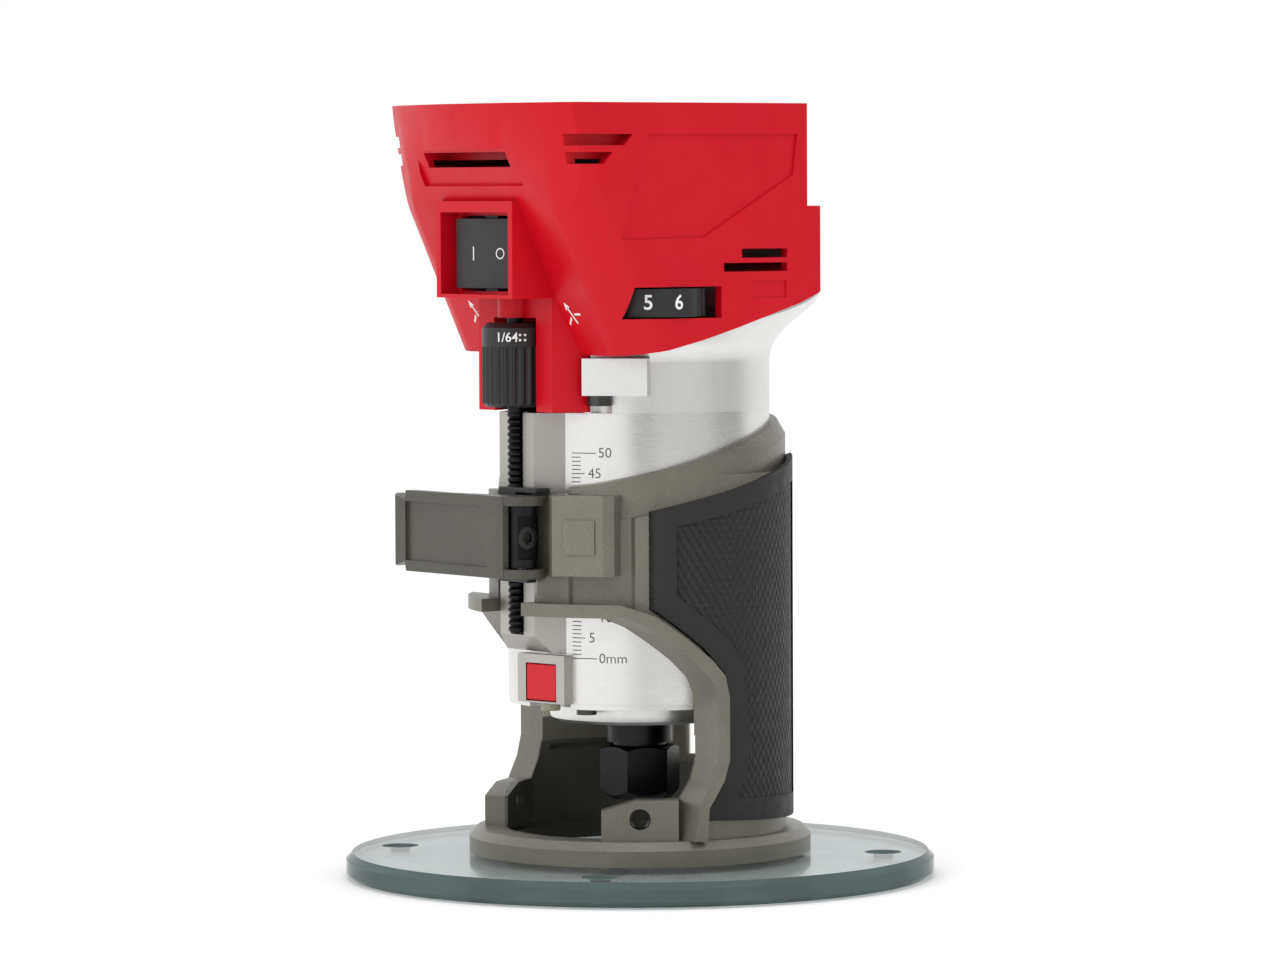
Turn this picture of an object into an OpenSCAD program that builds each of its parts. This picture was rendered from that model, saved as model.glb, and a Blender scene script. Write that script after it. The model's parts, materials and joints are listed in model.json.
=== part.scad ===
// Trim router: compact cordless router motor in a round-plate fixed base.
// Units are millimetres. Z is up, the origin is under the sub-base on the spindle axis,
// the switch and depth knob face -Y and the speed dial is on the +X side.

/* [Sub-base] */
// sub-base plate diameter
plate_d = 146; // [140:1:152]
// sub-base plate thickness
plate_t = 6; // [5:0.5:6]
// clearance opening for the cutter
plate_bore_d = 38; // [30:1:44]
// outer accessory hole pitch circle
plate_pcd = 121.5; // [118:0.5:126]
// outer accessory hole diameter
plate_hole_d = 5; // [4:0.5:6]

/* [Base casting] */
// motor bore of the casting, clamped running fit
bore_d = 65.16; // [65.1:0.02:65.2]
// outer diameter of the split clamp ring
ring_d = 72.8; // [71:0.2:74]
// foot ring and arch lip diameter
foot_d = 84.8; // [84:0.2:88]
// clear half width of the clamp split
split_w = 8.4; // [8.2:0.1:9]
// edge guide thread bore
guide_hole_d = 5.2; // [4:0.2:6]

/* [Grips] */
// corner radius of the grip outline
grip_r = 33.8; // [33.6:0.1:34.4]
// half distance between the grip corner centres
grip_c = 7.2; // [7:0.1:8]

/* [Clamp lever] */
// pivot offset to the right of the spindle axis
pivot_x = 10.2; // [10:0.1:10.4]
// pivot distance in front of the spindle axis
pivot_y = 42.3; // [42.2:0.1:42.6]
// reach of the lever tip left of the spindle axis
lever_reach = 37; // [30:1:44]

/* [Motor] */
// motor barrel diameter
barrel_d = 65; // [64.9:0.02:65]
// barrel wall thickness
barrel_wall = 2.1; // [1.5:0.1:3]
// depth screw diameter
screw_d = 4.2; // [4:0.1:4.2]
// depth screw thread pitch
screw_pitch = 1.5875; // [1.25:0.0125:1.6]
// depth knob diameter
knob_d = 16.4; // [14:0.2:16.8]

/* [Collet] */
// collet bore diameter
collet_d = 6.35; // [6:0.05:8]
// collet nut width across flats
nut_af = 17.5; // [16:0.5:19]

/* [Head] */
// head shell width
head_w = 78; // [76:0.5:80]
// head shell wall thickness
head_wall = 2.6; // [2.2:0.1:3]
// height of the top of the head
head_top = 190.5; // [188:0.5:194]

/* [Hidden] */
$fn = 96;

eps = 0.01;
big = 200;
barrel_r = barrel_d / 2;
bore_r = bore_d / 2;
ring_r = ring_d / 2;
foot_r = foot_d / 2;
foot_z = plate_t;
chamber_r = 34.5;
bore_z = 31;            // lowest machined level of the bore
sill_z = 26.5;          // rear window sill
lip_t = 3.2;            // arch lip thickness
ring_slope = 14.3;      // rearward rise of the ring's top edge
ring_mid_z = 105.5;     // ring top height over the spindle axis
boss_a = 54;            // edge guide boss azimuth from the front
boss_d = 37.5;
lug_a = 34;             // clamp lug azimuth from the front
lug_d = 42;
clamp_z = 85.5;         // clamp bolt height
arm_r = 5.8;            // lever fork end radius
block_r = 3.9;
pin_r = 1.6;
bolt_r = 2;
screw_y = 36.9;         // depth screw axis in front of the spindle axis
seam_z = 115.5;         // top of the barrel
barrel_z = 44.5;
rail_y = 36.8;
rail_w = 7.2;
lock_a = 10;            // spindle lock azimuth
lock_face = 34.6;
lock_w = 10;
lock_z = 45.2;
lock_h = 8.9;
lock_pin_r = 1.8;
bearing_z = 39.8;
upper_bearing_r = 9.5;
button_play = 0.2;
head_hw = head_w / 2;
back_y = 35;            // rearmost point of the head on its centre line
back_r = 99;
bow_r = 90.8;           // plan radius of the upper front
hood_w = 16.2;
hood_z = [143.5, 167];
rocker_pos = [0, -42.6, 154.3];
dial_pos = [24.6, -16, 142.4];
dial_r = 15.2;
dial_h = 6.8;
shell_cut = 180;        // floor of the battery channel
rail_half = 29;         // half width of the battery channel

// turns children from the front (-Y) to azimuth a, towards +X
module at_azimuth(a) { rotate([0, 0, a]) children(); }

// plan outline with two straight sides, used for the grips and their backing
module oval(r, c) {
  for (s = [-1, 1]) translate([s * c, 0]) circle(r = r);
  square([2 * c, 2 * r], center = true);
}

// extrudes a Y-Z outline along X, centred on X = 0
module along_x(w) {
  translate([-w / 2, 0, 0]) rotate([90, 0, 90]) linear_extrude(w) children();
}

module tube(ro, ri, z0, z1) {
  difference() {
    translate([0, 0, z0]) cylinder(r = ro, h = z1 - z0);
    translate([0, 0, z0 - 1]) cylinder(r = ri, h = z1 - z0 + 2);
  }
}

// ---------- sub-base ----------

module sub_base_screw_axes() {
  for (a = [45:90:315]) rotate([0, 0, a]) translate([37, 0, 0]) children();
}

module sub_base() {
  color([0.72, 0.78, 0.8, 0.35]) difference() {
    rotate_extrude() polygon([
      [plate_bore_d / 2, 0], [plate_d / 2 - 1.2, 0], [plate_d / 2, 1.2],
      [plate_d / 2, plate_t - 1.6], [plate_d / 2 - 1.6, plate_t], [plate_bore_d / 2, plate_t]
    ]);
    for (a = [45:90:315]) rotate([0, 0, a]) translate([plate_pcd / 2, 0, 0]) {
      translate([0, 0, -1]) cylinder(d = plate_hole_d, h = plate_t + 2);
      translate([0, 0, plate_t - 2.2]) cylinder(d1 = plate_hole_d, d2 = plate_hole_d + 4.4, h = 2.3);
    }
    sub_base_screw_axes() {
      translate([0, 0, -1]) cylinder(r = 2.1, h = plate_t + 2);
      translate([0, 0, -eps]) cylinder(r1 = 4.2, r2 = 2.1, h = 2.3);
    }
  }
}

module sub_base_screws() {
  color([0.2, 0.2, 0.21]) sub_base_screw_axes() difference() {
    union() {
      translate([0, 0, 0.3]) cylinder(r1 = 3.7, r2 = 1.9, h = 2.2);
      translate([0, 0, 2.4]) cylinder(r = 1.95, h = 8.4);
    }
    cylinder(r = 1.3, h = 1.7, $fn = 6);
  }
}

// ---------- base casting ----------

// lower edge of the front arch in the Y-Z plane, from the split down to the foot
arch_low = [[-27, 66.4], [-22, 63.6], [-18, 60.2], [-12.9, 55.7], [-8.8, 51.4], [-7.1, 47.5],
            [-6.8, 44], [-6.8, 32], [-8.3, 26.6], [-11.5, 21.2], [-13, 12]];
// upper edge of the arch lip, read back from the foot to the split
arch_high = [[-9.6, 12], [-9.2, 20], [-5.2, 26.4], [-3.6, 31.5], [-3.6, 47], [-4.8, 52],
             [-8.3, 56], [-15.5, 62], [-21.5, 66.8], [-28.5, 69.6]];

module arch_lip() {
  intersection() {
    along_x(2 * foot_r) polygon(concat([[-60, 66.4]], arch_low, arch_high, [[-60, 66.4 + lip_t]]));
    tube(foot_r, 33, foot_z, 75);
  }
}

// room for the motor's front rail and lock block to slide through the ring
module rail_path() {
  polygon([[-13.2, -28.5], [-rail_w - 1.2, -rail_y + 0.6], [-split_w, -60], [split_w, -60],
           [rail_w + 1.2, -rail_y + 0.6], [13.2, -28.5]]);
  rotate(lock_a) translate([-8.5, -lock_face - 1]) square([17, 8.3]);
}

module edge_guide_boss() {
  at_azimuth(boss_a) translate([0, -boss_d, 0]) rotate([-90, 0, 0])
    linear_extrude(6) polygon([[-9.4, -11], [-9.4, -19.2], [-1, -21.9], [9.4, -21.9], [9.4, -11]]);
}

module clamp_lug() {
  at_azimuth(lug_a) difference() {
    union() {
      translate([-8.2, -lug_d, 76.4]) cube([16.4, 8.2, 19.4]);
      translate([-4, -lug_d - 0.4, 81.6]) cube([8, 1, 8.4]);
    }
    translate([-8.2, -lug_d, 86]) rotate([0, 0, 45]) cube([1.6, 1.6, 30], center = true);
    translate([8.2, -lug_d, 86]) rotate([0, 0, 45]) cube([3, 3, 30], center = true);
  }
}

module bolt_lug() {
  translate([-15.6, -45.4, 79.5]) cube([5.2, 11.4, 12]);
}

module casting_wall() {
  difference() {
    union() {
      rotate_extrude() polygon([[30, foot_z], [foot_r, foot_z], [foot_r, foot_z + 4],
        [foot_r - 1.9, foot_z + 6], [ring_r, foot_z + 6.6], [ring_r, 122], [30, 122]]);
      translate([0, 0, foot_z + 5]) linear_extrude(89.5) intersection() {
        oval(grip_r - 1.6, grip_c);
        square([200, 45.6], center = true);
      }
    }
    // chip chamber and machined bore
    translate([0, 0, foot_z + 4]) cylinder(r = chamber_r - 1.5, h = 2 + eps);
    translate([0, 0, foot_z + 6]) cylinder(r = chamber_r - 1.5, h = bore_z - foot_z);
    translate([0, 0, bore_z - 1]) cylinder(r = bore_r, h = 100);
    translate([0, 0, bore_z - 2.4]) cylinder(r1 = chamber_r - 0.5, r2 = bore_r - 0.4, h = 2.6);
    // front window under the arch
    along_x(120) polygon(concat([[-60, 66.4]], arch_low, [[-60, 12]]));
    // rear window
    translate([-20, 15, sill_z]) cube([40, 40, 66 - sill_z]);
    // sloped top and its bevel
    translate([0, 0, ring_mid_z]) rotate([ring_slope, 0, 0]) {
      translate([-60, -60, 0]) cube([120, 120, 60]);
      difference() {
        translate([0, 0, -9]) cylinder(r = 60, h = 20);
        translate([0, 0, -9]) cylinder(r1 = ring_r + 1.8, r2 = ring_r - 1.2, h = 9.01);
      }
    }
  }
}

module base_casting() {
  color([0.43, 0.42, 0.38]) difference() {
    union() {
      casting_wall();
      arch_lip();
      for (s = [0, 1]) mirror([s, 0, 0]) edge_guide_boss();
      clamp_lug();
      bolt_lug();
      // thickened ring ends beside the split
      intersection() {
        tube(ring_r + 1.1, bore_r, 66.5, 96.1);
        translate([-17, -50, 0]) cube([34, 30, big]);
      }
    }
    translate([0, 0, bore_z]) cylinder(r = bore_r, h = 100);
    translate([0, 0, 60]) linear_extrude(100) rail_path();
    // seat for the depth nut tab
    translate([3, -46, 96.1]) cube([10.2, 13, 20]);
    for (s = [-1, 1]) at_azimuth(s * boss_a) translate([0, -20, 17.2]) rotate([90, 0, 0])
      cylinder(d = guide_hole_d, h = 30);
    sub_base_screw_axes() translate([0, 0, foot_z - 1]) cylinder(r = 2, h = 6);
    translate([-20, -pivot_y, clamp_z]) rotate([0, 90, 0]) cylinder(r = bolt_r + 0.2, h = 20);
    chip_shield_slot();
  }
}

// ---------- chip shield ----------

module chip_shield_slot() {
  intersection() {
    tube(chamber_r + 0.9, bore_r + 0.1, sill_z - 2, 62);
    translate([-22.4, 10, 0]) cube([44.8, 40, big]);
  }
}

module chip_shield() {
  color([0.85, 0.83, 0.72, 0.3]) intersection() {
    tube(chamber_r + 0.6, bore_r + 0.4, sill_z - 1.8, 61.8);
    translate([-22.2, 10, 0]) cube([44.4, 40, big]);
  }
}

// ---------- grips ----------

// Y-Z outline of the right grip
grip_outline = [[-20.4, 92], [-10.8, 94.6], [0, 97.2], [12.5, 100.4], [22, 102.6], [40, 107],
                [40, 15.6], [21, 15.6], [-9.4, 16.9], [-8.6, 20.2], [-4.5, 26.4], [-2.6, 31.5],
                [-2.6, 47.4], [-4, 52.4], [-9.2, 58.6], [-16.1, 64.6], [-20.4, 68.2]];
// sunk gripping panel inside the smooth border
grip_panel = [[-15.6, 88.4], [-4.9, 90.7], [9.9, 94.4], [18, 96.4], [27.5, 98.6], [27.5, 20.8],
              [-0.3, 22], [3.1, 29], [3.7, 40], [1.7, 53], [-2.5, 60.5], [-15.6, 71.6]];

module grip(side) {
  color([0.2, 0.2, 0.19]) mirror([side < 0 ? 1 : 0, 0, 0]) difference() {
    intersection() {
      translate([0, 0, 10]) linear_extrude(110) difference() {
        oval(grip_r, grip_c);
        oval(grip_r - 1.6, grip_c);
        circle(r = ring_r);
      }
      translate([75, 0, 0]) along_x(104) polygon(grip_outline);
    }
    intersection() {
      translate([0, 0, 10]) linear_extrude(110) difference() {
        oval(grip_r + 2, grip_c);
        oval(grip_r - 0.5, grip_c);
      }
      translate([75, 0, 0]) along_x(104) polygon(grip_panel);
    }
  }
}

module grip_left() { grip(-1); }
module grip_right() { grip(1); }

// ---------- clamp ----------

module clamp_bolt() {
  color([0.13, 0.13, 0.13]) translate([0, -pivot_y, clamp_z]) rotate([0, 90, 0]) difference() {
    union() {
      translate([0, 0, -19.5]) cylinder(r = bolt_r, h = 30.5);
      translate([0, 0, 10.4]) cylinder(r = 2.8, h = 2.2);
    }
    translate([0, 0, 11.2]) cylinder(r = 1.5, h = 2, $fn = 6);
  }
}

module clamp_bolt_nut() {
  color([0.16, 0.16, 0.16]) translate([-15.7, -pivot_y, clamp_z]) rotate([0, -90, 0]) difference() {
    cylinder(r = 3.9, h = 3, $fn = 6);
    translate([0, 0, -1]) cylinder(r = bolt_r, h = 5);
  }
}

module clamp_block() {
  color([0.1, 0.1, 0.1]) translate([pivot_x, -pivot_y, 0]) difference() {
    translate([0, 0, 78.3]) cylinder(r = block_r, h = 14.9);
    translate([0, 0, 78]) cylinder(r = pin_r, h = 16);
    translate([-10, 0, clamp_z]) rotate([0, 90, 0]) cylinder(r = bolt_r, h = 20);
    translate([0.2, 0, clamp_z]) rotate([0, 90, 0]) cylinder(r = 2.9, h = 10);
    translate([2.4, -5, 80.4]) cube([5, 10, 10.6]);
  }
}

module clamp_pin() {
  color([0.35, 0.35, 0.36]) difference() {
    translate([pivot_x, -pivot_y, 75.7]) cylinder(r = pin_r, h = 20);
    translate([0, -pivot_y, clamp_z]) rotate([0, 90, 0]) cylinder(r = bolt_r, h = 20);
    translate([pivot_x + 0.2, -pivot_y, clamp_z]) rotate([0, 90, 0]) cylinder(r = 2.9, h = 10);
  }
}

module lever_plan() {
  y0 = -pivot_y - block_r - 0.3;
  polygon([[pivot_x + 0.3, y0], [pivot_x + 0.3, y0 - 1.8], [-lever_reach + 1.6, y0 - 2.4],
           [-lever_reach, y0 - 0.9], [-lever_reach, y0 + 1.4], [-lever_reach + 6, y0 + 0.6], [-6, y0]]);
}

module clamp_lever() {
  y0 = -pivot_y - block_r - 0.3;
  color([0.42, 0.41, 0.37]) difference() {
    union() {
      translate([0, 0, 75.7]) linear_extrude(20) lever_plan();
      for (z = [75.7, 93.4]) translate([0, 0, z]) linear_extrude(2.3) union() {
        translate([pivot_x, -pivot_y]) circle(r = arm_r);
        polygon([[pivot_x, y0 - 1.8], [pivot_x - arm_r, -pivot_y], [-14, y0], [-14, y0 - 1.8]]);
      }
    }
    translate([pivot_x, -pivot_y, 70]) cylinder(r = pin_r + 0.05, h = 30);
    // sunk finger panel on the face and lightening pocket behind it
    translate([-lever_reach + 6, y0 - 3.4, 78.4]) cube([lever_reach - 2, 1.9, 14.6]);
    // tapered tip corners
    for (m = [0, 1]) translate([0, 0, clamp_z + 0.2]) mirror([0, 0, m]) translate([-lever_reach, 0, 10])
      rotate([0, 14, 0]) translate([-6, -80, -0.9]) cube([12, 80, 4]);
  }
}

module depth_nut() {
  color([0.09, 0.09, 0.09]) difference() {
    union() {
      translate([-3.2, -40, 74.3]) cube([7.2, 2.9, 22.9]);
      translate([0, 0, 96.1]) linear_extrude(1.3)
        polygon([[-3.2, -40], [12.6, -40], [12.6, -35.6], [10.6, -35.6], [9, -37.1], [-3.2, -37.1]]);
      translate([-3.2, -40, 74.3]) cube([12, 2.9, 1.1]);
    }
    translate([0, -screw_y, 70]) cylinder(r = screw_d / 2 + 0.05, h = 30);
    translate([-10, -pivot_y, clamp_z]) rotate([0, 90, 0]) cylinder(r = bolt_r + 0.4, h = 20);
  }
}

// ---------- motor body ----------

module barrel_rail() {
  difference() {
    intersection() {
      translate([0, 0, 50]) linear_extrude(seam_z - 50)
        polygon([[-12.6, -29], [-rail_w, -rail_y], [rail_w, -rail_y], [12.6, -29]]);
      along_x(40) polygon([[-20, 55.4], [-33.2, 57.1], [-40, 64.6], [-40, 130], [-20, 130]]);
    }
    translate([-2.75, -40, 61.2]) cube([5.5, 6.6, 60]);
  }
}

module motor_barrel() {
  color([0.85, 0.85, 0.85]) difference() {
    union() {
      translate([0, 0, barrel_z]) cylinder(r = barrel_r, h = seam_z - barrel_z);
      barrel_rail();
      at_azimuth(lock_a) translate([-8, -lock_face, barrel_z + 0.1]) cube([16, 8, 11.9]);
    }
    translate([0, 0, barrel_z - 1]) cylinder(r = barrel_r - barrel_wall, h = 80);
    at_azimuth(lock_a) translate([-lock_w / 2 - button_play, -40, lock_z - button_play])
      cube([lock_w + 2 * button_play, 20, lock_h + 2 * button_play]);
  }
}

module end_cap() {
  color([0.78, 0.78, 0.77]) difference() {
    union() {
      translate([0, 0, 43.2]) cylinder(r = 32.2, h = 1.3);
      rotate_extrude() polygon([[0, 38.6], [20.6, 38.6], [22, 39.4], [22.5, 41], [22.5, 43.3], [0, 43.3]]);
      translate([0, 0, 43.2]) cylinder(r = 18.2, h = 10.3);
    }
    translate([0, 0, 30]) cylinder(r = 6.4, h = 30);
    translate([0, 0, bearing_z]) cylinder(r = 11, h = 20);
    translate([0, 0, bearing_z + 6.6]) cylinder(r = 15.4, h = 20);
    at_azimuth(lock_a) translate([0, -10, lock_z + lock_h / 2]) rotate([90, 0, 0])
      cylinder(r = lock_pin_r + 0.05, h = 20);
    end_cap_screw_axes() translate([0, 0, 40]) cylinder(r = 1.5, h = 6);
    at_azimuth(lock_a) translate([-7, -40, 40]) cube([14, 12.6, 6]);
  }
}

module end_cap_screw_axes() {
  for (a = [25, 115, 205, 295]) at_azimuth(a) translate([0, -26.6, 0]) children();
}

module end_cap_screws() {
  color([0.25, 0.25, 0.24]) end_cap_screw_axes() difference() {
    union() {
      translate([0, 0, 41.6]) cylinder(r = 2.5, h = 1.6);
      translate([0, 0, 43]) cylinder(r = 1.45, h = 1.6);
    }
    translate([0, 0, 41]) cylinder(r = 1.1, h = 1.4, $fn = 6);
  }
}

module led_lens() {
  color([0.55, 0.53, 0.42]) at_azimuth(lock_a) translate([0, -31.2, 42.6])
    intersection() {
      cylinder(r = 2.4, h = 1.9);
      translate([0, 0, 2.2]) sphere(r = 3.1);
    }
}

// rear-rising joint line between the metal collar and the head shell, as Y-Z points
joint_line = [[-44, 127.3], [-31, 129.5], [-19, 131], [-9, 133.2], [1.4, 136], [11, 138.9],
              [21, 141.9], [30, 145.8], [38, 149]];

module collar_screw_axes() {
  for (s = [-1, 1]) at_azimuth(s * 38) translate([0, -34, 0]) children();
}

// spider that carries the upper bearing inside the collar, open for the cooling air
module bearing_web() {
  difference() {
    union() {
      translate([0, 0, 118]) cylinder(r = 30.6, h = 2.4);
      translate([0, 0, 114]) cylinder(r = upper_bearing_r + 2.1, h = 6.4);
    }
    translate([0, 0, 113]) cylinder(r = upper_bearing_r, h = 9);
    for (a = [0:60:300]) rotate([0, 0, a]) translate([13.5, -5, 117]) cube([13.5, 10, 5]);
  }
}

module motor_collar() {
  color([0.82, 0.82, 0.8]) difference() {
    union() {
      difference() {
        intersection() {
          union() {
            rotate_extrude() polygon([[0, seam_z], [barrel_r, seam_z], [barrel_r, 127.6], [33.1, 131],
              [34.5, 133.2], [37.1, 136], [40.7, 139], [45, 142], [52, 149], [0, 149]]);
            for (s = [-1, 1]) at_azimuth(s * 45) translate([-8, -36.6, 119.9]) cube([16, 12, 9]);
          }
          translate([-head_hw + 0.3, -40, 100]) cube([head_w - 0.6, 80, 60]);
          translate([0, back_y - back_r - 0.3, 100]) cylinder(r = back_r, h = 60);
          along_x(120) polygon(concat(joint_line, [[38, 100], [-44, 100]]));
        }
        rotate_extrude() polygon([[0, seam_z - 1], [30.4, seam_z - 1], [30.4, 126], [31.4, 134],
                                  [34.2, 140], [34.2, 160], [0, 160]]);
      }
      bearing_web();
    }
    // room for the knob and the head's front column
    translate([-19.4, -60, 100]) cube([38.8, 32, 60]);
    collar_screw_axes() {
      translate([0, 0, 117]) cylinder(r = 1.7, h = 8);
      translate([0, 0, 110]) cylinder(r = 3.15, h = 9.9);
    }
  }
}

module collar_screws() {
  color([0.25, 0.25, 0.24]) collar_screw_axes() difference() {
    union() {
      translate([0, 0, 117.4]) cylinder(r = 3, h = 2.5);
      translate([0, 0, 119.5]) cylinder(r = 1.65, h = 5);
    }
    translate([0, 0, 117]) cylinder(r = 1.4, h = 1.9, $fn = 6);
  }
}

// ---------- head shell ----------

// one vent slot of the side wall: Y range at its foot, slanted end, Z range
module side_slot(y0, y1, z0, z1, lean) {
  translate([head_hw, 0, 0]) along_x(8) polygon([[y0, z0], [y1, z0], [y1 + lean, z1], [y0, z1]]);
}

// plan of width w with its front edge on Y = 0 and rounded front corners
module front_corners(w, r) {
  translate([-w / 2, r]) square([w, 120]);
  translate([-w / 2 + r, 0]) square([w - 2 * r, 2 * r]);
  for (s = [-1, 1]) translate([s * (w / 2 - r), r]) circle(r = r);
}

// head outline without its lower edge, inset moves every wall inwards
module head_form(inset) {
  w = head_w - 2 * inset;
  intersection() {
    translate([-w / 2, -62, 100]) cube([w, 110, head_top - 100]);
    // bowed front, leaning in towards the bottom in two steps
    translate([0, bow_r - 54.5 + inset, head_top]) rotate([9.5, 0, 0]) translate([0, 0, -120]) cylinder(r = bow_r, h = 160);
    translate([0, -47.3 + 1.1 * inset, 167]) rotate([25, 0, 0]) translate([0, 0, -90]) linear_extrude(160)
      front_corners(w, 10 - inset);
    // bowed back with a step under the battery channel
    union() {
      translate([0, back_y - back_r - 4 - inset, 100]) cylinder(r = back_r, h = 100);
      translate([0, back_y - back_r - inset, 100]) cylinder(r = back_r, h = 65.5 - inset);
    }
    // rounded front corners
    linear_extrude(big) union() {
      translate([-w / 2, -44.5 + inset]) square([w, 90]);
      translate([-w / 2 + 4, -62]) square([w - 8, 60]);
      for (s = [-1, 1]) translate([s * (w / 2 - 4), -44.5 + inset]) circle(r = 4);
    }
  }
}

module head_outer() {
  intersection() {
    head_form(0);
    along_x(120) polygon(concat(joint_line, [[38, 200], [-70, 200], [-70, 127.3]]));
  }
}

module front_column() {
  translate([0, 0, 115.8]) linear_extrude(30)
    polygon([[-18.2, -28.2], [-15.6, -37], [15.6, -37], [18.2, -28.2], [18.2, -26], [-18.2, -26]]);
  translate([0, -screw_y, 138.6]) cylinder(r = 4.3, h = 8);
}

module switch_hood() {
  translate([-hood_w, -49, hood_z[0]]) cube([2 * hood_w, 16, hood_z[1] - hood_z[0]]);
}

module head_shell() {
  difference() {
    union() {
      head_outer();
      front_column();
      switch_hood();
    }
    // inside of the shell, leaving the switch recess walls
    difference() {
      intersection() {
        head_form(head_wall);
        along_x(120) polygon([[-60, 131], [-28, 131], [-28, 100], [60, 100], [60, shell_cut - 3], [-60, shell_cut - 3]]);
      }
      translate([-15.8, -60, 141.5]) cube([31.6, 18.4, 24.6]);
    }
    // collar and barrel sit inside the lower edge
    translate([0, 0, 100]) cylinder(r = barrel_r + 0.02, h = 26);
    rotate_extrude() polygon([[0, 125], [barrel_r + 0.02, 125], [barrel_r + 0.02, 128], [34.2, 134],
                              [34.2, 150], [0, 150]]);
    collar_screw_axes() {
      translate([0, 0, 116]) cylinder(r = 1.75, h = 9.2);
      translate([0, 0, 110]) cylinder(r = 3.2, h = 10.1);
    }
    // depth knob pocket and screw journal
    translate([0, -screw_y - 0.1, 110]) cylinder(r = knob_d / 2 + 0.7, h = 28.6);
    translate([0, -screw_y, 130]) cylinder(r = screw_d / 2 + 0.05, h = 11.4);
    translate([-2.9, -45, 110]) cube([5.8, 12, 6.8]);
    translate([0, 0, 110]) linear_extrude(6.5) polygon([[-12.6, -29], [-7.6, -37.2], [7.6, -37.2], [12.6, -29]]);
    // switch recess
    translate([-14.4, -60, 144.4]) cube([28.8, 16.2, 19.9]);
    translate([-12.9, -60, 145.1]) cube([25.8, 28, 18.4]);
    // front air slot in its shallow panel
    translate([0, -47.3, 167]) rotate([25, 0, 0]) translate([-21, -10, 4]) cube([42, 10.9, 9.6]);
    translate([-17.4, -70, 175.2]) cube([34.8, 26, 3.6]);
    for (m = [0, 1]) mirror([m, 0, 0]) {
      side_slot(-48, -32, 180.2, 182.9, 2.4);
      side_slot(-48, -38, 175.8, 178.6, 2.4);
      side_slot(3, 16.8, 153, 155.2, 0);
      side_slot(-2.5, 16.8, 149.7, 151.8, 0);
      // sunk side panel and badge recess
      translate([head_hw + 4 - 0.6, 0, 0]) along_x(8)
        polygon([[-24.8, 183], [20, 183], [18.6, 173], [-8.5, 158], [-33, 157.6]]);
      translate([head_hw + 4 - 0.4, 0, 0]) along_x(8) polygon([[6.5, 143.2], [16.5, 143.2], [16.5, 147.4], [6.5, 147.4]]);
    }
    // speed dial window
    translate([head_hw, 0, 0]) along_x(14) polygon([[-30.9, 138.6], [-3.2, 138.6], [-3.2, 146.2], [-29, 146.2]]);
    // battery channel with undercut guide grooves, open at the back
    translate([-rail_half, -42, shell_cut]) cube([2 * rail_half, 80, 30]);
    translate([-rail_half - 4, -42, shell_cut + 2.5]) cube([2 * rail_half + 8, 80, 4.2]);
    head_screw_holes();
  }
}

module head_screw_axes() {
  for (p = [[-32, 168.5], [20.5, 171], [21.5, 148.5]]) translate([0, p[0], p[1]]) children();
}

// joining screws enter from the left and end blind in the right half
module head_screw_holes() {
  head_screw_axes() rotate([0, 90, 0]) {
    translate([0, 0, -60]) cylinder(r = 1.6, h = 93);
    translate([0, 0, -60]) cylinder(r = 3.2, h = 60 - head_hw + 1.8);
  }
}

module head_screw_bosses() {
  difference() {
    intersection() {
      head_screw_axes() rotate([0, 90, 0]) translate([0, 0, -37]) cylinder(r = 3.1, h = 74);
      head_outer();
    }
    head_screw_holes();
  }
}

module head_half(side) {
  color([0.78, 0.12, 0.15]) intersection() {
    union() { head_shell(); head_screw_bosses(); }
    translate([side < 0 ? -100 : 0.02, -100, 100]) cube([99.98, 200, 120]);
  }
}

module head_shell_left() { head_half(-1); }
module head_shell_right() { head_half(1); }

module head_shell_screws() {
  color([0.2, 0.2, 0.2]) head_screw_axes() rotate([0, 90, 0]) difference() {
    union() {
      translate([0, 0, -head_hw + 1.6]) cylinder(r = 1.55, h = 68);
      translate([0, 0, -head_hw + 0.2]) cylinder(r = 2.9, h = 1.6);
    }
    translate([0, 0, -head_hw - 1]) cylinder(r = 1.3, h = 2, $fn = 6);
  }
}

// ---------- battery terminals ----------

module terminal_block() {
  color([0.12, 0.12, 0.12]) difference() {
    translate([-17, -24, shell_cut]) cube([34, 30, 7.4]);
    for (x = [-12, -4, 4, 12]) translate([x - 1.1, -20, shell_cut + 1.6]) cube([2.2, 40, 8]);
  }
}

module terminal_contacts() {
  color([0.72, 0.6, 0.36]) for (x = [-12, -4, 4, 12])
    translate([x - 0.4, -18, shell_cut + 1.6]) cube([0.8, 18, 5]);
}

// ---------- controls ----------

module switch_body() {
  color([0.1, 0.1, 0.1]) union() {
    difference() {
      translate([-12.7, -40.8, 145.3]) cube([25.4, 13.5, 18]);
      translate([rocker_pos[0], rocker_pos[1], 140]) cylinder(r = 4.6, h = 30);
    }
    // ears and pivot of the rocker
    for (z = [145.15, 162.85]) translate([-2.5, -43.8, z]) cube([5, 6, 0.6]);
    translate([rocker_pos[0], rocker_pos[1], 145.2]) cylinder(r = 0.95, h = 18.2);
  }
}

module rocker() {
  color([0.08, 0.08, 0.08]) translate([rocker_pos[0], rocker_pos[1], 145.85]) difference() {
    linear_extrude(16.9) rotate(9) polygon([[-12, -0.4], [-4, 1.2], [4, 1.2], [12, -0.4], [12.2, -1.6],
                                            [0, -2.8], [-12.2, -1.6]]);
    translate([0, 0, -1]) cylinder(r = 1, h = 30);
  }
}

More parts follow.
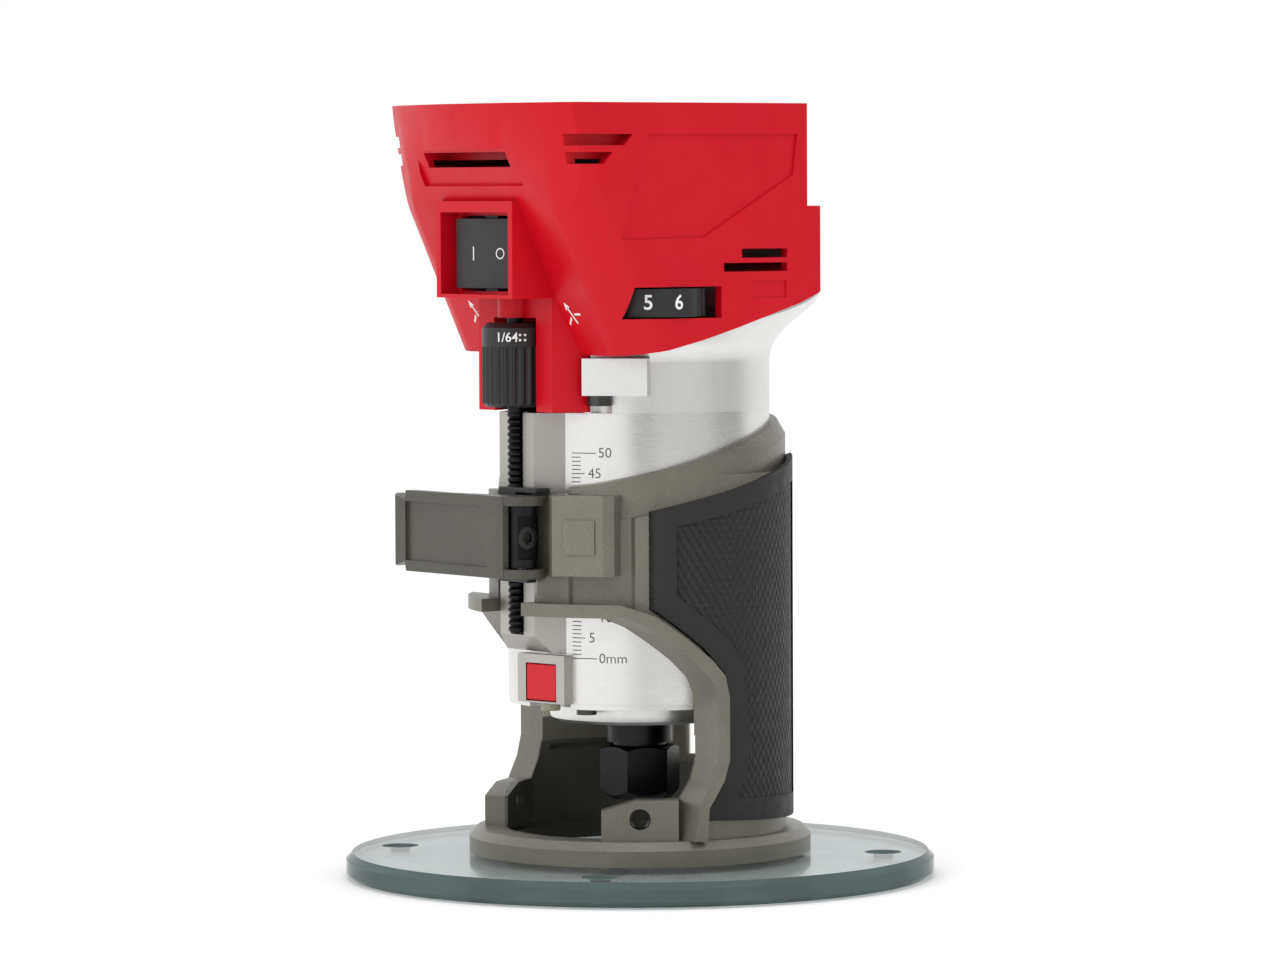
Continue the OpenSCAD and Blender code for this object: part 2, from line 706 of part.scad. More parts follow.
module speed_dial() {
  color([0.08, 0.08, 0.08]) translate([dial_pos[0], dial_pos[1], dial_pos[2] - dial_h / 2]) difference() {
    cylinder(r = dial_r, h = dial_h);
    translate([0, 0, -1]) cylinder(r = 2.1, h = 20);
    for (a = [24:12:180]) rotate([0, 0, a]) translate([dial_r + 0.3, 0, -1]) cylinder(r = 0.9, h = 20, $fn = 12);
  }
}

module dial_sensor() {
  color([0.15, 0.3, 0.2]) translate([dial_pos[0], dial_pos[1], 0]) union() {
    translate([0, 0, 137.4]) cylinder(r = 2, h = 10.6);
    translate([-8, -8, 146.6]) cube([12, 16, 1.6]);
  }
}

module control_module() {
  color([0.13, 0.13, 0.14]) difference() {
    translate([-27, -20, shell_cut - 21]) cube([54, 36.5, 18]);
    for (x = [-20:8:20]) translate([x - 2.5, -16, shell_cut - 24]) cube([5, 30, 18]);
  }
}

// ---------- motor internals ----------

module stator_core() {
  color([0.5, 0.5, 0.5]) difference() {
    translate([0, 0, 66]) cylinder(r = barrel_r - barrel_wall, h = 30);
    translate([0, 0, 60]) cylinder(r = 14.6, h = 40);
    for (a = [0:60:300]) rotate([0, 0, a + 30]) translate([14, -2.4, 60]) cube([11.6, 4.8, 40]);
    translate([-6, -34, 60]) cube([12, 5.4, 40]);
  }
}

module windings() {
  color([0.7, 0.4, 0.2]) for (z = [61.7, 96]) difference() {
    translate([0, 0, z]) cylinder(r = 25.5, h = 4.3);
    translate([0, 0, z - 1]) cylinder(r = 15.6, h = 8);
  }
}

module rotor() {
  color([0.42, 0.42, 0.43]) tube(14.1, 4, 66, 96);
}

module fan() {
  color([0.15, 0.15, 0.15]) translate([0, 0, 103]) difference() {
    union() {
      cylinder(r = 8, h = 9);
      cylinder(r = 27, h = 1.4);
      for (a = [0:36:324]) rotate([0, 0, a]) translate([7, -0.7, 0.6]) rotate([0, 0, 14]) cube([18.6, 1.4, 7]);
    }
    translate([0, 0, -1]) cylinder(r = 4, h = 20);
  }
}

module upper_bearing() {
  color([0.7, 0.7, 0.72]) tube(upper_bearing_r, 4.04, 114, 120);
}

module lower_bearing() {
  color([0.7, 0.7, 0.72]) tube(11, 6.04, bearing_z, bearing_z + 6.6);
}

// ---------- spindle ----------

module spindle_shaft() {
  color([0.16, 0.16, 0.17]) difference() {
    union() {
      translate([0, 0, 25]) cylinder(r = 6.6, h = 9);
      for (z = [25.4:1.5:32.9]) translate([0, 0, z]) cylinder(r1 = 6.6, r2 = 7.2, h = 0.75);
      translate([0, 0, 33]) cylinder(r = 8.1, h = 5.3);
      translate([0, 0, 38]) cylinder(r = 6, h = 14);
      translate([0, 0, 52]) cylinder(r = 4, h = 69);
    }
    translate([0, 0, 24]) cylinder(r1 = 5.6, r2 = 4.4, h = 17);
  }
}

// pressed on the shaft, its holes take the lock pin every quarter turn
module lock_collar() {
  color([0.45, 0.45, 0.46]) difference() {
    tube(10, 6, 46.7, 52);
    for (a = [0:90:270]) at_azimuth(lock_a + a) translate([0, 0, lock_z + lock_h / 2]) rotate([90, 0, 0])
      cylinder(r = lock_pin_r + 0.25, h = 20);
  }
}

module collet() {
  color([0.3, 0.3, 0.31]) difference() {
    union() {
      translate([0, 0, 24.6]) cylinder(r1 = 5.4, r2 = 4.3, h = 16);
      translate([0, 0, 21]) cylinder(r1 = 4.6, r2 = 5.4, h = 3.7);
    }
    translate([0, 0, 20]) cylinder(d = collet_d, h = 30);
    for (a = [0:45:135]) rotate([0, 0, a]) translate([-10, -0.3, 20]) cube([20, 0.6, 12]);
  }
}

module collet_nut() {
  nut_r = nut_af / 2 / cos(30);
  color([0.1, 0.1, 0.1]) rotate([0, 0, -53.7]) difference() {
    intersection() {
      translate([0, 0, 18.9]) cylinder(r = nut_r, h = 13, $fn = 6);
      rotate_extrude() polygon([[0, 18.9], [nut_r - 2.4, 18.9], [nut_r + 0.2, 21.4], [nut_r + 0.2, 30.9],
                                [nut_r - 1.4, 31.9], [0, 31.9]]);
    }
    translate([0, 0, 10]) cylinder(r = 4.8, h = 30);
    translate([0, 0, 20.6]) cylinder(r1 = 4.8, r2 = 5.7, h = 4);
    translate([0, 0, 24.5]) cylinder(r = 7.3, h = 12);
  }
}

// ---------- depth adjuster ----------

module depth_screw() {
  n = floor(54 / screw_pitch);
  r = screw_d / 2;
  color([0.1, 0.1, 0.1]) translate([0, -screw_y, 0]) rotate_extrude() polygon(concat(
    [[0, 61.7]],
    [for (i = [0:n - 1]) each [[r - 0.42, 61.7 + i * screw_pitch], [r, 61.7 + (i + 0.35) * screw_pitch],
                               [r, 61.7 + (i + 0.65) * screw_pitch]]],
    [[r - 0.1, 61.7 + n * screw_pitch], [r - 0.1, 141], [0, 141]]));
}

module depth_knob() {
  kr = knob_d / 2;
  color([0.07, 0.07, 0.07]) translate([0, -screw_y, 0]) difference() {
    rotate_extrude() polygon([[screw_d / 2 - 0.1, 116.9], [kr - 1, 116.9], [kr, 118],
      [kr, 136.2], [kr - 1.2, 137.4], [screw_d / 2 - 0.1, 137.4]]);
    for (a = [0:15:345]) rotate([0, 0, a]) translate([kr + 0.5, 0, 116]) cylinder(r = 1, h = 15.6);
  }
}

// ---------- spindle lock ----------

module lock_button() {
  color([0.78, 0.1, 0.13]) at_azimuth(lock_a) union() {
    translate([-lock_w / 2, -lock_face, lock_z]) cube([lock_w, 3.1, lock_h]);
    translate([0, -lock_face + 2, lock_z + lock_h / 2]) rotate([-90, 0, 0]) cylinder(r = lock_pin_r, h = 21.9);
  }
}

module lock_spring() {
  color([0.6, 0.6, 0.62]) at_azimuth(lock_a) translate([0, -27.4, lock_z + lock_h / 2]) rotate([-90, 0, 0])
    difference() {
      cylinder(r = 3.2, h = 9);
      translate([0, 0, -1]) cylinder(r = 2.3, h = 12);
    }
}

sub_base();
sub_base_screws();
base_casting();
grip_left();
grip_right();
chip_shield();
clamp_bolt();
clamp_bolt_nut();
clamp_block();
clamp_pin();
depth_nut();
clamp_lever();
motor_barrel();
end_cap();
end_cap_screws();
led_lens();
motor_collar();
collar_screws();
head_shell_left();
head_shell_right();
head_shell_screws();
terminal_block();
terminal_contacts();
switch_body();
rocker();
speed_dial();
dial_sensor();
control_module();
stator_core();
windings();
rotor();
fan();
upper_bearing();
lower_bearing();
spindle_shaft();
lock_collar();
collet();
collet_nut();
depth_screw();
depth_knob();
lock_button();
lock_spring();
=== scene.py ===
import json
import math

import bpy
import bmesh
from mathutils import Matrix, Vector


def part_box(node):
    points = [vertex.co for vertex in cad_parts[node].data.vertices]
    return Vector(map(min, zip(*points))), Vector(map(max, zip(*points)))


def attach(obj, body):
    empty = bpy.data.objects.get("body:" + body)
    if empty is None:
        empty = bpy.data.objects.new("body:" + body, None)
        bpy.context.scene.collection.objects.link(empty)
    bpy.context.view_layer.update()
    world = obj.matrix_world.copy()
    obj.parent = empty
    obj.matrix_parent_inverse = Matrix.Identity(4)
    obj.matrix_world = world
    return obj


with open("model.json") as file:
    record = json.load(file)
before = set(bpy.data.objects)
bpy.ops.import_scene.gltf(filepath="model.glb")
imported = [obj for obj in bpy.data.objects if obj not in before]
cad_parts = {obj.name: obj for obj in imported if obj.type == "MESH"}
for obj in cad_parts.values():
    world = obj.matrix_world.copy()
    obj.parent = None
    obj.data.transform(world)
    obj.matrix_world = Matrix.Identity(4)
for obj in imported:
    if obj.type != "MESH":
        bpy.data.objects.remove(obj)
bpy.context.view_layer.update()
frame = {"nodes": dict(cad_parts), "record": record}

scene = bpy.context.scene
NODES = frame["nodes"]

# Sizes in millimetres and angles in degrees, in the frame's own axes: the tool's front faces -Y.
MM = 0.001
PRINT_GAP = 0.03            # how far printed marks stand off the surface under them
BARREL_R = 32.5             # outside of the motor barrel
SCALE_ZERO_Z = 55.8         # height of the depth scale's 0 mm line
SCALE_AZIMUTH = 24.1        # where the scale's lines start
SCALE_LENGTH = 50
KNOB_MARK_Z = 133.9         # height of the marks on the depth knob
DIAL_STEP = 30              # angle between two numerals of the speed dial
DIAL_FIVE_AZIMUTH = 57.8    # where the numeral 5 stands at rest
DIAL_R = 15.24              # where the numerals lie on the dial
ROCKER_PIVOT = (-42.6, 154.3)   # Y and Z of the rocker switch's pivot
ROCKER_REST = 9             # how far the rocker leans at rest
ROCKER_HALF = 12.2          # half the rocker's width
FRONT_Y, FRONT_Z = -47.3, 167   # a line that the head's leaning front face passes through
FRONT_LEAN = 25
GUIDE_AZIMUTH = 54          # the edge guide holes, to the right and the left of the front
GUIDE_Z = 17.2


# ---------- material building ----------

def srgb(red, green, blue):
    """The linear colour of an sRGB colour given in 0 to 255."""
    def linear(c):
        c /= 255
        return c / 12.92 if c <= 0.04045 else ((c + 0.055) / 1.055) ** 2.4
    return (linear(red), linear(green), linear(blue), 1)


def darker(colour, share):
    return tuple(c * share for c in colour[:3]) + (1,)


class Mat:
    """A Principled material with helpers for the procedural nodes that feed it."""

    def __init__(self, name, base, rough, metallic=0.0, **sockets):
        self.material = bpy.data.materials.new(name)
        self.material.use_nodes = True
        self.tree = self.material.node_tree
        self.inputs = self.tree.nodes["Principled BSDF"].inputs
        self.inputs["Base Color"].default_value = base
        self.inputs["Roughness"].default_value = rough
        self.inputs["Metallic"].default_value = metallic
        for socket, value in sockets.items():
            self.inputs[socket.replace("_", " ")].default_value = value
        self.base = base
        self.place = self.tree.nodes.new("ShaderNodeTexCoord").outputs["Object"]
        self.normal = None

    def link(self, a, b):
        self.tree.links.new(a, b)

    def calc(self, operation, a, b=None):
        node = self.tree.nodes.new("ShaderNodeMath")
        node.operation = operation
        for i, value in enumerate((a, b)):
            if isinstance(value, (int, float)):
                node.inputs[i].default_value = value
            elif value is not None:
                self.link(value, node.inputs[i])
        return node.outputs[0]

    def noise(self, scale, detail=3, rough=0.55, stretch=None):
        node = self.tree.nodes.new("ShaderNodeTexNoise")
        node.inputs["Scale"].default_value = scale
        node.inputs["Detail"].default_value = detail
        node.inputs["Roughness"].default_value = rough
        place = self.place
        if stretch:
            mapping = self.tree.nodes.new("ShaderNodeMapping")
            mapping.inputs["Scale"].default_value = stretch
            self.link(place, mapping.inputs["Vector"])
            place = mapping.outputs[0]
        self.link(place, node.inputs["Vector"])
        return node.outputs["Fac"]

    def ramp(self, fac, lo, hi, a=0.0, b=1.0):
        """Maps fac from lo..hi to a..b."""
        node = self.tree.nodes.new("ShaderNodeMapRange")
        node.inputs["From Min"].default_value = lo
        node.inputs["From Max"].default_value = hi
        node.inputs["To Min"].default_value = a
        node.inputs["To Max"].default_value = b
        self.link(fac, node.inputs["Value"])
        return node.outputs[0]

    def tint(self, fac, colour):
        """Mixes the colour built so far towards another by fac."""
        node = self.tree.nodes.new("ShaderNodeMix")
        node.data_type = "RGBA"
        self.link(fac, node.inputs["Factor"])
        now = self.inputs["Base Color"].links
        if now:
            self.link(now[0].from_socket, node.inputs["A"])
        else:
            node.inputs["A"].default_value = self.base
        node.inputs["B"].default_value = colour
        self.link(node.outputs["Result"], self.inputs["Base Color"])

    def roughness(self, fac, lo, hi, a, b):
        self.link(self.ramp(fac, lo, hi, a, b), self.inputs["Roughness"])

    def bump(self, height, distance, strength=1.0):
        """Adds relief to the relief built so far."""
        node = self.tree.nodes.new("ShaderNodeBump")
        node.inputs["Strength"].default_value = strength
        node.inputs["Distance"].default_value = distance
        self.link(height, node.inputs["Height"])
        if self.normal is not None:
            self.link(self.normal, node.inputs["Normal"])
        self.normal = node.outputs[0]
        self.link(self.normal, self.inputs["Normal"])

    def split(self, vector):
        node = self.tree.nodes.new("ShaderNodeSeparateXYZ")
        self.link(vector, node.inputs[0])
        return node.outputs

    def length(self, x, y):
        squares = self.calc("ADD", self.calc("MULTIPLY", x, x), self.calc("MULTIPLY", y, y))
        return self.calc("SQRT", squares)


def painted_metal(name, base, dark, light):
    m = Mat(name, base, 0.42, 0.35, Coat_Weight=0.25, Coat_Roughness=0.3)
    speck = m.noise(5200, 2, 0.6)
    m.tint(m.ramp(speck, 0.35, 0.7), light)
    m.tint(m.ramp(m.noise(60, 3), 0.35, 0.75, 0, 0.35), dark)
    m.roughness(m.noise(900, 4), 0.3, 0.7, 0.36, 0.52)
    m.bump(m.noise(1400, 4, 0.6), 0.00008, 0.5)
    m.bump(speck, 0.00002, 0.5)
    return m


def plastic(name, base, rough, grain, depth, gloss=0.5):
    m = Mat(name, base, rough, 0, Specular_IOR_Level=gloss)
    m.roughness(m.noise(140, 4), 0.3, 0.7, max(rough - 0.06, 0.05), rough + 0.07)
    m.tint(m.ramp(m.noise(45, 4), 0.3, 0.75, 0, 0.5), darker(base, 0.86))
    m.bump(m.noise(grain, 3, 0.6), depth, 0.5)
    return m


def metal(name, base, rough, stretch, scale, depth, spread):
    """Bare metal with machining lines: noise stretched by an x, y, z scale."""
    m = Mat(name, base, rough, 1.0)
    lines = m.noise(scale, 4, 0.65, stretch)
    m.roughness(lines, 0.3, 0.7, max(rough - spread, 0.05), rough + spread)
    m.tint(m.ramp(m.noise(70, 4), 0.35, 0.8, 0, 0.45), darker(base, 0.82))
    m.tint(m.ramp(m.noise(2600, 2), 0.7, 0.8, 0, 0.25), darker(base, 0.82))
    m.bump(lines, depth, 0.35)
    return m


def barrel_metal():
    """Turned aluminium, with the front rail and the lock block left duller and rougher."""
    m = metal("barrel_metal", srgb(222, 221, 218), 0.3, (1, 1, 30), 220, 0.000012, 0.07)
    rail_r = 0.03258
    x, y, _ = m.split(m.place)
    raised = m.calc("GREATER_THAN", m.length(x, y), rail_r)
    m.tint(raised, srgb(182, 179, 174))
    turned = m.inputs["Roughness"].links[0].from_socket
    m.link(m.calc("ADD", turned, m.calc("MULTIPLY", raised, 0.14)), m.inputs["Roughness"])
    m.bump(m.calc("MULTIPLY", m.noise(1500, 3), raised), 0.00006, 0.5)
    return m


def grip_rubber():
    """Rubber with a diamond knurl on the sunk panel, which lies inside a radius about the grip's axis."""
    m = Mat("grip_rubber", srgb(36, 35, 34), 0.55, 0, Specular_IOR_Level=0.35)
    axis_x, panel_r, mean_r, pitch, slope = 0.0072, 0.03352, 0.0333, 0.0021, 0.62
    x, y, z = m.split(m.place)
    out = m.calc("SUBTRACT", m.calc("ABSOLUTE", x), axis_x)
    arc = m.calc("MULTIPLY", m.calc("ARCTAN2", y, out), mean_r)
    panel = m.calc("LESS_THAN", m.length(out, y), panel_r)
    rise = m.calc("MULTIPLY", z, slope)

    def groove(direction):
        along = m.calc(direction, arc, rise)
        return m.calc("ABSOLUTE", m.calc("SINE", m.calc("MULTIPLY", along, math.pi / pitch)))

    knurl = m.calc("MULTIPLY", m.calc("MINIMUM", groove("ADD"), groove("SUBTRACT")), panel)
    shadow = m.calc("MULTIPLY", m.ramp(knurl, 0.0, 0.35, 1, 0), m.calc("MULTIPLY", panel, 0.75))
    m.tint(shadow, srgb(22, 22, 22))
    m.tint(m.ramp(m.noise(1500, 4, 0.7), 0.6, 0.8, 0, 0.3), srgb(74, 73, 70))
    m.roughness(m.noise(400, 4), 0.3, 0.7, 0.46, 0.64)
    m.bump(knurl, 0.0004, 1.0)
    m.bump(m.noise(3800, 3), 0.00004, 0.5)
    return m


def painted_casting():
    """Paint, with a machined bare bore and painted shade darkening the chip chamber below it."""
    m = painted_metal("painted_casting", srgb(102, 99, 89), srgb(82, 80, 71), srgb(134, 130, 119))
    bore_r, chamber_r, bore_z = 0.03264, 0.0336, 0.0309
    x, y, z = m.split(m.place)
    radius = m.length(x, y)
    high = m.calc("GREATER_THAN", z, bore_z)
    low = m.calc("SUBTRACT", 1.0, high)
    bare = m.calc("MULTIPLY", m.calc("LESS_THAN", radius, bore_r), high)
    # painted shade: the deep chip chamber below the bore is tinted towards near black
    inside = m.calc("MULTIPLY", m.calc("LESS_THAN", radius, chamber_r), low)
    m.tint(m.calc("MULTIPLY", inside, 0.6), srgb(30, 29, 25))
    m.tint(bare, srgb(196, 190, 176))
    m.link(m.calc("MAXIMUM", bare, 0.35), m.inputs["Metallic"])
    return m


def clear_plate():
    """Clear plastic that absorbs a little light, with painted shade on its edge faces, which are also made
    less clear.
    """
    m = Mat("clear_plate", srgb(228, 235, 234), 0.05, 0, Transmission_Weight=1.0, IOR=1.1)
    m.roughness(m.noise(90, 5), 0.35, 0.75, 0.04, 0.12)
    m.bump(m.noise(1800, 3), 0.000004, 0.3)
    m.tint(m.ramp(m.noise(700, 4, 0.7), 0.68, 0.8, 0, 0.3), srgb(214, 222, 224))
    absorb = m.tree.nodes.new("ShaderNodeVolumeAbsorption")
    absorb.inputs["Color"].default_value = (0.5, 0.6, 0.61, 1)
    absorb.inputs["Density"].default_value = 20
    m.link(absorb.outputs[0], m.tree.nodes["Material Output"].inputs["Volume"])
    normal = m.split(m.tree.nodes.new("ShaderNodeNewGeometry").outputs["Normal"])
    # painted shade: faces turned sideways are made less clear and tinted darker, standing in for light lost
    # along the long path through the plate's edge
    rim = m.calc("LESS_THAN", m.calc("ABSOLUTE", normal["Z"]), 0.8)
    m.link(m.calc("SUBTRACT", 1.0, m.calc("MULTIPLY", rim, 0.5)), m.inputs["Transmission Weight"])
    m.tint(rim, srgb(112, 126, 126))
    return m


def clear_shield():
    m = Mat("clear_shield", srgb(238, 236, 214), 0.06, 0, Transmission_Weight=1.0, IOR=1.3, Alpha=0.35)
    m.roughness(m.noise(80, 5), 0.35, 0.75, 0.04, 0.16)
    m.tint(m.ramp(m.noise(500, 4, 0.7), 0.66, 0.8, 0, 0.3), srgb(224, 220, 196))
    m.bump(m.noise(60, 3), 0.00003, 0.3)
    return m


# one finish for each material slot of the record
FINISH = {
    "painted_casting": painted_casting(),
    "lever_paint": painted_metal("lever_paint", srgb(62, 60, 52), srgb(50, 48, 42), srgb(86, 83, 74)),
    "head_plastic": plastic("head_plastic", srgb(199, 7, 29), 0.36, 2600, 0.00003, 0.2),
    "button_plastic": plastic("button_plastic", srgb(206, 12, 32), 0.3, 2600, 0.00002, 0.35),
    "black_plastic": plastic("black_plastic", srgb(34, 34, 35), 0.4, 3600, 0.00004),
    "knob_plastic": plastic("knob_plastic", srgb(27, 27, 28), 0.42, 3600, 0.00004),
    "barrel_metal": barrel_metal(),
    "cast_metal": metal("cast_metal", srgb(226, 226, 224), 0.4, (1, 1, 1), 900, 0.00003, 0.08),
    "black_steel": metal("black_steel", srgb(46, 46, 48), 0.36, (1, 1, 12), 300, 0.00001, 0.1),
    "dark_steel": metal("dark_steel", srgb(78, 78, 76), 0.38, (1, 1, 4), 500, 0.00001, 0.1),
    "bright_steel": metal("bright_steel", srgb(176, 176, 178), 0.3, (1, 1, 12), 300, 0.00001, 0.1),
    "copper": metal("copper", srgb(196, 118, 72), 0.35, (1, 1, 30), 300, 0.00004, 0.1),
    "contact_brass": metal("contact_brass", srgb(214, 182, 112), 0.28, (1, 1, 8), 300, 0.00001, 0.08),
    "lens": plastic("lens", srgb(150, 148, 128), 0.25, 1200, 0.00002),
    "grip_rubber": grip_rubber(),
    "clear_plate": clear_plate(),
    "clear_shield": clear_shield(),
}
INK = plastic("scale_ink", srgb(74, 74, 74), 0.6, 2400, 0.00002)
WHITE_INK = plastic("white_ink", srgb(232, 232, 230), 0.55, 2400, 0.00002)


# ---------- CAD nodes: edges and finishes ----------

# width of the rounded edge of each node that gets one, in mm
EDGE = {"head_shell_left": 0.4, "head_shell_right": 0.4, "base_casting": 0.45, "clamp_lever": 0.55,
        "grip_left": 0.5, "grip_right": 0.5, "motor_collar": 0.4, "motor_barrel": 0.3, "end_cap": 0.25,
        "collet_nut": 0.35, "lock_button": 0.5, "rocker": 0.35, "depth_nut": 0.3, "clamp_block": 0.25,
        "depth_knob": 0.2, "speed_dial": 0.2, "switch_body": 0.2, "clamp_bolt": 0.15, "terminal_block": 0.3}
SHARP = math.radians(24)


def soften(node, width):
    weld = node.modifiers.new("weld", "WELD")
    weld.merge_threshold = 2e-6
    flat = node.modifiers.new("flat", "DECIMATE")
    flat.decimate_type = "DISSOLVE"
    flat.angle_limit = math.radians(0.6)
    bevel = node.modifiers.new("edge", "BEVEL")
    bevel.width = width * MM
    bevel.segments = 2
    bevel.limit_method = "ANGLE"
    bevel.angle_limit = SHARP
    bevel.harden_normals = True
    bevel.miter_outer = "MITER_ARC"
    bevel.use_clamp_overlap = True
    shade = node.modifiers.new("shade", "WEIGHTED_NORMAL")
    shade.weight = 90
    shade.keep_sharp = True


slots = {row["node"]: row["material_slot"] for row in frame["record"]["subparts"]}
for name, node in NODES.items():
    node.data.materials.clear()
    node.data.materials.append(FINISH[slots[name]].material)
    for face in node.data.polygons:
        face.use_smooth = True
    if name in EDGE:
        soften(node, EDGE[name])
    else:
        crisp = node.modifiers.new("crisp", "EDGE_SPLIT")
        crisp.split_angle = SHARP


# ---------- printed marks ----------

def add_mesh(name, verts, faces, finish, body):
    """Makes a piece from points in mm and puts it on a body."""
    mesh = bpy.data.meshes.new(name)
    mesh.from_pydata([Vector(v) * MM for v in verts], [], faces)
    mesh.update()
    piece = bpy.data.objects.new(name, mesh)
    scene.collection.objects.link(piece)
    mesh.materials.append(finish.material)
    for face in mesh.polygons:
        face.use_smooth = True
    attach(piece, body)


def glyphs(text, size, bold):
    """Flat outline of a number as 2-D points and triangles, fine enough to lie on a curved surface."""
    curve = bpy.data.curves.new("glyph", "FONT")
    curve.body = text
    curve.size = size
    curve.offset = bold
    curve.align_x = "LEFT"
    curve.align_y = "CENTER"
    curve.resolution_u = 4
    holder = bpy.data.objects.new("glyph", curve)
    scene.collection.objects.link(holder)
    bpy.context.view_layer.update()
    shown = holder.evaluated_get(bpy.context.evaluated_depsgraph_get())
    bm = bmesh.new()
    bm.from_mesh(bpy.data.meshes.new_from_object(shown))
    for _ in range(2):
        long_edges = [e for e in bm.edges if e.calc_length() > size * 0.12]
        if long_edges:
            bmesh.ops.subdivide_edges(bm, edges=long_edges, cuts=1)
    bmesh.ops.triangulate(bm, faces=bm.faces)
    verts = [(v.co.x, v.co.y) for v in bm.verts]
    faces = [[v.index for v in f.verts] for f in bm.faces]
    bm.free()
    bpy.data.objects.remove(holder)
    return verts, faces


class Print:
    """Collects flat printed shapes and lays them on surfaces, each by a place(s, h) function in mm."""

    def __init__(self):
        self.verts, self.faces = [], []

    def add(self, verts, faces, place):
        first = len(self.verts)
        self.verts += [place(*v) for v in verts]
        self.faces += [[first + i for i in face] for face in faces]

    def bar(self, length, height, thick, place):
        points, steps = [], 6
        for i in range(steps + 1):
            points += [(length * i / steps, height + side * thick / 2) for side in (-1, 1)]
        self.add(points, [[2 * i, 2 * i + 2, 2 * i + 3, 2 * i + 1] for i in range(steps)], place)

    def make(self, name, finish, body):
        add_mesh(name, self.verts, self.faces, finish, body)


def on_cylinder(radius, azimuth, z, centre=(0, 0)):
    """Lays marks on an upright cylinder: s is arc towards +X from an azimuth measured from -Y."""
    def place(s, h):
        a = azimuth + s / radius
        return (centre[0] + radius * math.sin(a), centre[1] - radius * math.cos(a), z + h)
    return place


def middle(name):
    """Centre of a CAD node's box, in mm."""
    lo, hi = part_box(name)
    return [(lo[i] + hi[i]) / 2 / MM for i in range(3)]


def barrel_scale():
    """Depth scale with a line each millimetre and a number every five."""
    marks = Print()
    radius, azimuth = BARREL_R + PRINT_GAP, math.radians(SCALE_AZIMUTH)
    for i in range(SCALE_LENGTH + 1):
        length = 6.6 if i == 0 else 6.4 if i % 10 == 0 else 3.5 if i % 5 == 0 else 2.45
        marks.bar(length, SCALE_ZERO_Z + i, 0.22, on_cylinder(radius, azimuth, 0))
    for i in range(0, SCALE_LENGTH + 1, 5):
        verts, faces = glyphs("0mm" if i == 0 else str(i), 3.5, -0.02)
        start = 7.0 if i % 10 == 0 else 4.4
        marks.add(verts, faces, on_cylinder(radius, azimuth + start / BARREL_R, SCALE_ZERO_Z + i))
    marks.make("barrel_scale", INK, "motor")


def knob_marks():
    """Travel per mark with four dots, on the smooth band above the knob's ribs."""
    lo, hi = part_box("depth_knob")
    radius = (hi.x - lo.x) / 2 / MM + PRINT_GAP
    axis = middle("depth_knob")
    text_azimuth, dots_azimuth = math.radians(41), math.radians(63)
    dot_r, spacing, sides = 0.32, 1.25, 12
    marks = Print()
    verts, faces = glyphs("1/64", 3.2, 0.03)
    marks.add(verts, faces, on_cylinder(radius, text_azimuth - 3.0 / radius, KNOB_MARK_Z, axis))
    turns = [2 * math.pi * i / sides for i in range(sides)]
    disc = [(dot_r * math.cos(t), dot_r * math.sin(t)) for t in turns]
    for column in (0, 1):
        for row in (0, 1):
            dot = [(x + column * spacing, y + row * spacing - 0.6) for x, y in disc]
            marks.add(dot, [list(range(sides))], on_cylinder(radius, dots_azimuth, KNOB_MARK_Z, axis))
    marks.make("knob_marks", WHITE_INK, "depth_adjuster")


def dial_numerals():
    """Speeds 1 to 6 round the dial."""
    axis = middle("speed_dial")
    marks = Print()
    for n in range(1, 7):
        verts, faces = glyphs(str(n), 5.0, 0.07)
        mid = (max(v[0] for v in verts) + min(v[0] for v in verts)) / 2
        azimuth = math.radians(DIAL_FIVE_AZIMUTH + DIAL_STEP * (n - 5))
        centred = [(v[0] - mid, v[1]) for v in verts]
        marks.add(centred, faces, on_cylinder(DIAL_R, azimuth, axis[2], axis))
    marks.make("dial_numerals", WHITE_INK, "dial")


def on_rocker(s, h):
    """Lays marks on the rocker's face, which falls back from the pivot to both edges."""
    lean = math.radians(ROCKER_REST)
    depth = -2.84 + 1.2 * abs(s) / ROCKER_HALF
    y, z = ROCKER_PIVOT
    across = s * math.cos(lean) - depth * math.sin(lean)
    return (across, y + s * math.sin(lean) + depth * math.cos(lean), z + h)


def switch_signs():
    """A ring for off and a bar for on."""
    marks = Print()
    sides = 32
    count = 2 * sides
    ring = []
    for i in range(sides):
        t = 2 * math.pi * i / sides
        ring += [(4.1 + r * math.cos(t), r * math.sin(t)) for r in (1.05, 1.36)]
    band = [[2 * i, 2 * i + 1, (2 * i + 3) % count, (2 * i + 2) % count] for i in range(sides)]
    marks.add(ring, band, on_rocker)
    marks.add([(-5.6, -1.7), (-5.2, -1.7), (-5.2, 1.7), (-5.6, 1.7)], [[0, 1, 2, 3]], on_rocker)
    marks.make("switch_signs", WHITE_INK, "rocker_switch")


def on_front(x0, z0):
    """Lays marks on the head's lower front face, about a point at x0, z0."""
    lean = math.radians(FRONT_LEAN)
    stand_off = 0.04

    def place(s, h):
        along = (z0 - FRONT_Z) / math.cos(lean) + h
        return (x0 + s, FRONT_Y - along * math.sin(lean) - stand_off * math.cos(lean),
                FRONT_Z + along * math.cos(lean) - stand_off * math.sin(lean))
    return place


